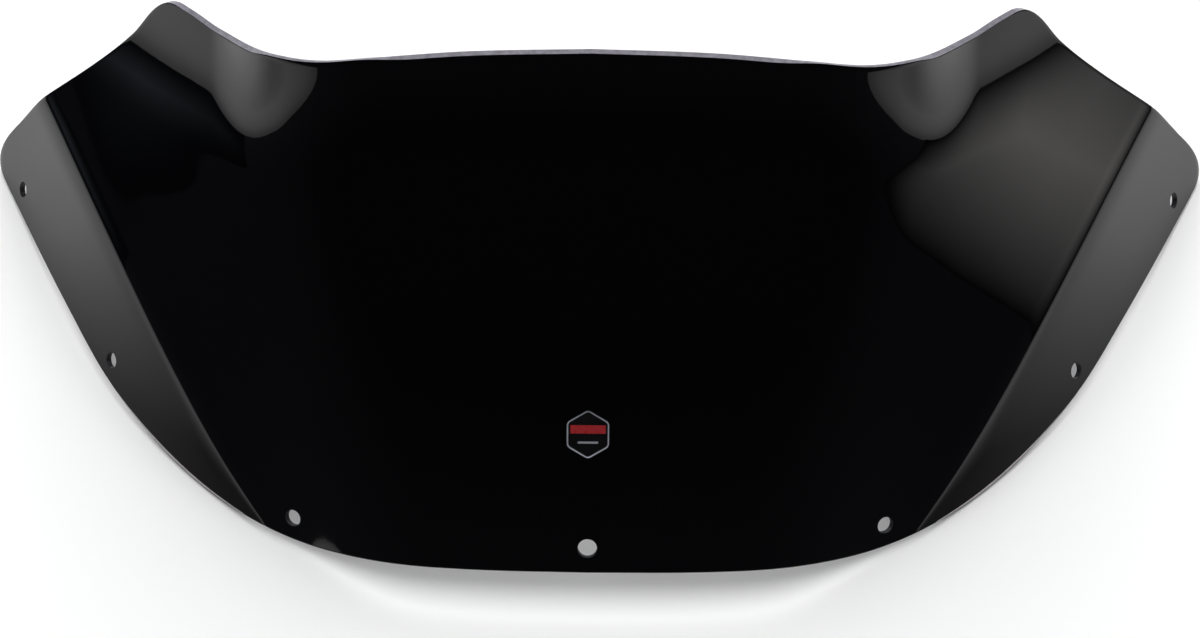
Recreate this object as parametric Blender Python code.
"""Motorcycle windshield screen, lying on the floor on its back edges.

One thermoformed sheet carries seven screw holes and a small domed emblem. The sheet is drawn face on:
x runs across, v runs up the face and w comes out of it. A parent empty then leans the whole screen
back until it lies at rest. Everything is in metres, +Z is up and the front of the screen looks to -Y.
"""

import math

import bmesh
import bpy
from mathutils import Matrix, Vector, geometry

# Sheet
SHEET_THICKNESS = 0.0032
SIDE_HOLE_RADIUS = 0.0043
CENTRE_HOLE_RADIUS = 0.0048

# Half outline, as (x, v). Both edges run from the centre line out to the rounded outer corner.
LOWER_EDGE = [
    (0.000, -0.1265), (0.060, -0.1257), (0.104, -0.1230), (0.141, -0.1165), (0.172, -0.1050),
    (0.202, -0.0880), (0.231, -0.0640), (0.258, -0.0350), (0.284, 0.0010), (0.312, 0.0410),
    (0.3305, 0.0690),
]
LOWER_CREASE_POINT = 4
UPPER_EDGE = [
    (0.000, 0.1297), (0.060, 0.1283), (0.105, 0.1255), (0.137, 0.1236), (0.163, 0.1290),
    (0.1915, 0.1450), (0.2100, 0.1575), (0.2217, 0.1633), (0.2319, 0.1600), (0.2450, 0.1492),
    (0.2700, 0.1347), (0.303, 0.1172), (0.3240, 0.1047),
]
UPPER_CREASE_POINT = 11
OUTER_CORNER_BULGE = 0.0125

# Screw holes on the right half, as (x, v)
CENTRE_HOLE = (0.000, -0.1140)
LOWER_HOLE = (0.1502, -0.1027)
MIDDLE_HOLE = (0.2557, -0.0246)
UPPER_HOLE = (0.3205, 0.0690)

# Bends, as (distance where it starts, distance where it ends, slope gained). The broad middle panel
# falls away slowly, and the shoulders fall faster. The shoulder bends lean outwards up the face.
PANEL_BEND = (0.000, 0.120, 0.13)
SHOULDER_BEND = (0.105, 0.170, 0.42)
SHOULDER_LEAN = 0.15
SHOULDER_LEAN_HEIGHT = 0.100

# The crown is the arc up the face. The ears twist back above a level line.
CROWN_HEIGHT = 0.045
CROWN_RADIUS = 0.585
EAR_DROOP = (0.100, 0.330, 0.22)
EAR_DROOP_HEIGHT = -0.025

# The crease folds each side flange back, more at the top than at the bottom
CREASE_HALF_WIDTH = 0.009
CREASE_SLOPE_LOW = 0.32
CREASE_SLOPE_GAIN = (-0.085, 0.110, 0.58)

# The lip that flares forward along the top edge: deepest in the scoops, and rising into the horns
LIP_LENGTH = 0.060
LIP_START = 0.064
LIP_START_RISE = (0.160, 0.185, 0.60)
LIP_SLOPE = 0.50
LIP_SCOOP_GAIN = (0.097, 0.165, 0.36)
LIP_HORN_LOSS = (0.150, 0.195, 0.54)

# Rest: the lean at which the lower side edges and the outer corners touch the floor together, and the
# move that puts the middle of the screen's footprint over the origin
REST_LEAN = math.radians(34.775)
REST_SHIFT = -0.0477
REST_LIFT = 0.11106

# Emblem: flat layers stacked on the sheet
EMBLEM_HEIGHT_ON_FACE = -0.0565
EMBLEM_HALF_WIDTH = 0.0104
EMBLEM_HALF_HEIGHT = 0.0122
EMBLEM_SHOULDER_SHARE = 0.5
EMBLEM_CORNER = 0.0030
LAYER_GAP = 0.0002
ADHESIVE_THICKNESS = 0.0002
ADHESIVE_INSET = 0.0006
FOIL_THICKNESS = 0.0002
PRINT_THICKNESS = 0.00015
DOME_THICKNESS = 0.0013
DOME_RIM = 0.0003
DOME_ROUNDING = 0.0024
OUTLINE_WIDTH = 0.0009
BAND_HALF_HEIGHT = 0.0021
BAND_HEIGHT_ON_EMBLEM = 0.0026
LINE_HALF_HEIGHT = 0.0005
LINE_HALF_WIDTH = 0.0050
LINE_HEIGHT_ON_EMBLEM = -0.0040

# Materials, as (name, colour, roughness, metallic, transmission)
SCREEN_MATERIAL = ("screen_black", (0.010, 0.010, 0.012), 0.06, 0.0, 0.0)
ADHESIVE_MATERIAL = ("adhesive_grey", (0.45, 0.45, 0.43), 0.60, 0.0, 0.0)
FOIL_MATERIAL = ("emblem_black", (0.012, 0.012, 0.014), 0.25, 0.0, 0.0)
OUTLINE_MATERIAL = ("emblem_silver", (0.72, 0.72, 0.74), 0.25, 1.0, 0.0)
BAND_MATERIAL = ("emblem_red", (0.55, 0.03, 0.03), 0.35, 0.0, 0.0)
DOME_MATERIAL = ("emblem_resin", (0.95, 0.95, 0.95), 0.03, 0.0, 1.0)

# Mesh density
BODY_COLUMNS = 30
FLANGE_COLUMNS = 6
ROWS = 18
CURVE_STEPS = 12
HOLE_SIDES = 24
CORNER_STEPS = 5
MERGE_DISTANCE = 0.00002
CUTTER_LENGTH = 0.016
NORMAL_STEP = 0.0005


def clear_scene():
    for thing in list(bpy.data.objects):
        bpy.data.objects.remove(thing, do_unlink=True)


# Shape of the sheet


def smooth_step(value, start, end):
    """0 before start, 1 after end, and a smooth rise between."""
    share = min(max((value - start) / (end - start), 0.0), 1.0)
    return share * share * (3.0 - 2.0 * share)


def bend(value, start, end):
    """Height gained by a slope that grows from 0 to 1 between start and end."""
    share = min(max((value - start) / (end - start), 0.0), 1.0)
    return (end - start) * (share**3 - 0.5 * share**4) + max(value - end, 0.0)


def crease_distance(x, v):
    """Distance from the crease: negative on the body, positive on the side flange."""
    low = Vector(LOWER_EDGE[LOWER_CREASE_POINT])
    along = (Vector(UPPER_EDGE[UPPER_CREASE_POINT]) - low).normalized()
    return (x - low.x) * along.y - (v - low.y) * along.x


def sheet_height(x, v):
    """Height w of the front of the sheet over the face plane, for a point on the right half."""
    start, end, slope = PANEL_BEND
    w = -slope * bend(x, start, end)
    start, end, slope = SHOULDER_BEND
    w -= slope * bend(x + SHOULDER_LEAN * (SHOULDER_LEAN_HEIGHT - v), start, end)
    w -= (v - CROWN_HEIGHT) ** 2 / (2.0 * CROWN_RADIUS)
    start, end, slope = EAR_DROOP
    w -= slope * (v - EAR_DROOP_HEIGHT) * smooth_step(x, start, end)
    start, end, slope = CREASE_SLOPE_GAIN
    crease_slope = CREASE_SLOPE_LOW + slope * smooth_step(v, start, end)
    w -= crease_slope * bend(crease_distance(x, v), -CREASE_HALF_WIDTH, CREASE_HALF_WIDTH)
    start, end, slope = LIP_START_RISE
    lip_start = LIP_START + slope * bend(x, start, end)
    start, end, slope = LIP_SCOOP_GAIN
    lip_slope = LIP_SLOPE + slope * smooth_step(x, start, end)
    start, end, slope = LIP_HORN_LOSS
    lip_slope -= slope * smooth_step(x, start, end)
    return w + lip_slope * bend(v - lip_start, 0.0, LIP_LENGTH)


def sheet_frame(x, v):
    """A matrix at a point of the sheet's front: its Z axis is the outward normal, its X axis level."""
    across = abs(x)
    height = sheet_height(across, v)
    slope_x = 0.0
    if x != 0.0:
        side = -1.0 if x < 0.0 else 1.0
        slope_x = side * (sheet_height(across + NORMAL_STEP, v) - height) / NORMAL_STEP
    slope_v = (sheet_height(across, v + NORMAL_STEP) - height) / NORMAL_STEP
    normal = Vector((-slope_x, -slope_v, 1.0)).normalized()
    level = Vector((1.0, 0.0, slope_x)).normalized()
    turn = Matrix((level, normal.cross(level), normal)).transposed().to_4x4()
    return Matrix.Translation((x, v, height)) @ turn


def smooth_curve(points, steps):
    """A curve through the points, with each tangent along the chord between a point's neighbours."""
    spots = [Vector(point) for point in points]
    tangents = []
    for index in range(len(spots)):
        before = spots[max(index - 1, 0)]
        after = spots[min(index + 1, len(spots) - 1)]
        tangents.append((after - before).normalized())
    curve = [spots[0]]
    for index in range(len(spots) - 1):
        start, end = spots[index], spots[index + 1]
        reach = (end - start).length / 3.0
        curve += geometry.interpolate_bezier(
            start, start + tangents[index] * reach, end - tangents[index + 1] * reach, end, steps + 1
        )[1:]
    return curve


def point_along(curve, share):
    """The point at a share of the curve's length."""
    lengths = [(b - a).length for a, b in zip(curve, curve[1:])]
    left = share * sum(lengths)
    for (a, b), length in zip(zip(curve, curve[1:]), lengths):
        if left <= length:
            return a.lerp(b, left / length)
        left -= length
    return curve[-1].copy()


def half_sheet_columns():
    """Columns of (x, v) points, each from the lower edge to the upper edge, from the middle outwards."""
    lower = smooth_curve(LOWER_EDGE, CURVE_STEPS)
    upper = smooth_curve(UPPER_EDGE, CURVE_STEPS)
    lower_split = LOWER_CREASE_POINT * CURVE_STEPS
    upper_split = UPPER_CREASE_POINT * CURVE_STEPS
    chord = upper[-1] - lower[-1]
    outward = Vector((chord.y, -chord.x)).normalized()
    columns = []
    for index in range(BODY_COLUMNS):
        share = index / BODY_COLUMNS
        low = point_along(lower[: lower_split + 1], share)
        high = point_along(upper[: upper_split + 1], share)
        columns.append([low.lerp(high, row / ROWS) for row in range(ROWS + 1)])
    for index in range(FLANGE_COLUMNS + 1):
        share = index / FLANGE_COLUMNS
        low = point_along(lower[lower_split:], share)
        high = point_along(upper[upper_split:], share)
        column = []
        for row in range(ROWS + 1):
            rise = row / ROWS
            arch = 4.0 * rise * (1.0 - rise)
            column.append(low.lerp(high, rise) + outward * OUTER_CORNER_BULGE * arch * share)
        columns.append(column)
    return columns


# Objects


def material(name, color, roughness, metallic, transmission):
    made = bpy.data.materials.new(name)
    made.use_nodes = True
    shader = made.node_tree.nodes["Principled BSDF"]
    shader.inputs["Base Color"].default_value = (*color, 1.0)
    shader.inputs["Roughness"].default_value = roughness
    shader.inputs["Metallic"].default_value = metallic
    shader.inputs["Transmission Weight"].default_value = transmission
    made.diffuse_color = (*color, 1.0)
    return made


def add_object(name, shape, parent, made_of=None):
    """An object from a bmesh, with its normals facing outwards."""
    bmesh.ops.recalc_face_normals(shape, faces=shape.faces)
    mesh = bpy.data.meshes.new(name)
    shape.to_mesh(mesh)
    shape.free()
    thing = bpy.data.objects.new(name, mesh)
    bpy.context.collection.objects.link(thing)
    thing.parent = parent
    if made_of:
        mesh.materials.append(made_of)
    return thing


def screw_holes():
    """(x, v, radius) of every hole, both halves."""
    holes = [(*CENTRE_HOLE, CENTRE_HOLE_RADIUS)]
    for x, v in (LOWER_HOLE, MIDDLE_HOLE, UPPER_HOLE):
        holes += [(x, v, SIDE_HOLE_RADIUS), (-x, v, SIDE_HOLE_RADIUS)]
    return holes


def make_hole_cutters(parent):
    shape = bmesh.new()
    for x, v, radius in screw_holes():
        bmesh.ops.create_cone(
            shape, cap_ends=True, segments=HOLE_SIDES, radius1=radius, radius2=radius,
            depth=CUTTER_LENGTH, matrix=sheet_frame(x, v),
        )
    cutters = add_object("hole_cutters", shape, parent)
    cutters.hide_render = True
    cutters.display_type = "WIRE"
    return cutters


def make_screen(parent):
    """The sheet: half of its front surface, mirrored, thickened towards the back and drilled."""
    shape = bmesh.new()
    grid = [
        [shape.verts.new((point.x, point.y, sheet_height(point.x, point.y))) for point in column]
        for column in half_sheet_columns()
    ]
    for left, right in zip(grid, grid[1:]):
        for row in range(ROWS):
            shape.faces.new((left[row], right[row], right[row + 1], left[row + 1]))
    screen = add_object("screen", shape, parent, material(*SCREEN_MATERIAL))
    mirror = screen.modifiers.new("both_halves", "MIRROR")
    mirror.use_axis = (True, False, False)
    mirror.merge_threshold = MERGE_DISTANCE
    thicken = screen.modifiers.new("sheet_thickness", "SOLIDIFY")
    thicken.thickness = SHEET_THICKNESS
    thicken.offset = -1.0
    thicken.use_even_offset = True
    drill = screen.modifiers.new("screw_holes", "BOOLEAN")
    drill.operation = "DIFFERENCE"
    drill.solver = "EXACT"
    drill.object = make_hole_cutters(parent)
    return screen


def rounded_polygon(corners, radius):
    """A closed outline with an arc at each corner. The corners run counterclockwise."""
    outline = []
    count = len(corners)
    for index in range(count):
        corner = Vector(corners[index])
        into = (corner - Vector(corners[index - 1])).normalized()
        out = (Vector(corners[(index + 1) % count]) - corner).normalized()
        half_turn = into.angle(out) / 2.0
        start = corner - into * radius * math.tan(half_turn)
        centre = start + Vector((-into.y, into.x)) * radius
        first = start - centre
        for step in range(CORNER_STEPS + 1):
            turn = Matrix.Rotation(2.0 * half_turn * step / CORNER_STEPS, 2)
            outline.append(centre + turn @ first)
    return outline


def emblem_outline(inset):
    """The emblem's six-sided badge shape, drawn inset from its edge."""
    width = EMBLEM_HALF_WIDTH - inset
    height = EMBLEM_HALF_HEIGHT - inset
    shoulder = height * EMBLEM_SHOULDER_SHARE
    corners = [
        (0.0, -height), (width, -shoulder), (width, shoulder),
        (0.0, height), (-width, shoulder), (-width, -shoulder),
    ]
    return rounded_polygon(corners, max(EMBLEM_CORNER - inset, EMBLEM_CORNER / 2.0))


def box_outline(half_width, half_height, centre_height):
    corners = [(-half_width, -half_height), (half_width, -half_height),
               (half_width, half_height), (-half_width, half_height)]
    return [Vector((x, y + centre_height)) for x, y in corners]


def plate(outline, bottom, thickness):
    """A flat plate over an outline, standing on the plane z = bottom."""
    shape = bmesh.new()
    face = shape.faces.new([shape.verts.new((point.x, point.y, bottom)) for point in outline])
    grown = bmesh.ops.extrude_face_region(shape, geom=[face])
    raised = [item for item in grown["geom"] if isinstance(item, bmesh.types.BMVert)]
    bmesh.ops.translate(shape, verts=raised, vec=(0.0, 0.0, thickness))
    return shape


def ring_plate(outer, inner, bottom, thickness):
    """A flat ring between two outlines with the same number of points."""
    shape = bmesh.new()
    loops = []
    for height in (bottom, bottom + thickness):
        loops.append([shape.verts.new((point.x, point.y, height)) for point in outer])
        loops.append([shape.verts.new((point.x, point.y, height)) for point in inner])
    low_outer, low_inner, high_outer, high_inner = loops
    for first, second in ((low_outer, high_outer), (high_outer, high_inner),
                          (high_inner, low_inner), (low_inner, low_outer)):
        for index in range(len(first)):
            after = (index + 1) % len(first)
            shape.faces.new((first[index], first[after], second[after], second[index]))
    return shape


def dome(outline_rings, bottom):
    """A clear lens: outlines stacked from the rim to a smaller flat top."""
    shape = bmesh.new()
    loops = [
        [shape.verts.new((point.x, point.y, bottom + height)) for point in outline]
        for outline, height in outline_rings
    ]
    shape.faces.new(loops[0])
    shape.faces.new(loops[-1])
    for lower, upper in zip(loops, loops[1:]):
        for index in range(len(lower)):
            after = (index + 1) % len(lower)
            shape.faces.new((lower[index], lower[after], upper[after], upper[index]))
    return shape


def make_emblem(parent):
    """A generic badge in layers: adhesive, black foil, silver outline, red band, silver line, dome."""
    silver = material(*OUTLINE_MATERIAL)
    spot = bpy.data.objects.new("emblem_place", None)
    bpy.context.collection.objects.link(spot)
    spot.parent = parent
    spot.matrix_local = sheet_frame(0.0, EMBLEM_HEIGHT_ON_FACE)

    level = LAYER_GAP
    adhesive = plate(emblem_outline(ADHESIVE_INSET), level, ADHESIVE_THICKNESS)
    add_object("emblem_adhesive", adhesive, spot, material(*ADHESIVE_MATERIAL))

    level += ADHESIVE_THICKNESS + LAYER_GAP
    foil = plate(emblem_outline(0.0), level, FOIL_THICKNESS)
    add_object("emblem_foil", foil, spot, material(*FOIL_MATERIAL))

    level += FOIL_THICKNESS + LAYER_GAP
    rim = ring_plate(emblem_outline(0.0), emblem_outline(OUTLINE_WIDTH), level, PRINT_THICKNESS)
    add_object("emblem_outline", rim, spot, silver)
    band_width = EMBLEM_HALF_WIDTH - 2.0 * OUTLINE_WIDTH
    band = plate(box_outline(band_width, BAND_HALF_HEIGHT, BAND_HEIGHT_ON_EMBLEM), level, PRINT_THICKNESS)
    add_object("emblem_band", band, spot, material(*BAND_MATERIAL))
    line_outline = box_outline(LINE_HALF_WIDTH, LINE_HALF_HEIGHT, LINE_HEIGHT_ON_EMBLEM)
    line = plate(line_outline, level, PRINT_THICKNESS)
    add_object("emblem_line", line, spot, silver)

    level += PRINT_THICKNESS + LAYER_GAP
    rings = []
    for step in range(CORNER_STEPS + 1):
        turn = math.radians(90.0) * step / (CORNER_STEPS + 1)
        inset = DOME_ROUNDING * (1.0 - math.cos(turn))
        rings.append((emblem_outline(inset), DOME_RIM + (DOME_THICKNESS - DOME_RIM) * math.sin(turn)))
    rings.insert(0, (emblem_outline(0.0), 0.0))
    lens = add_object("emblem_dome", dome(rings, level), spot, material(*DOME_MATERIAL))
    for face in lens.data.polygons:
        face.use_smooth = True


def main():
    clear_scene()
    attitude = bpy.data.objects.new("rest_attitude", None)
    bpy.context.collection.objects.link(attitude)
    attitude.rotation_euler = (REST_LEAN, 0.0, 0.0)
    attitude.location = (0.0, REST_SHIFT, REST_LIFT)
    screen = make_screen(attitude)
    for face in screen.data.polygons:
        face.use_smooth = True
    make_emblem(attitude)


main()
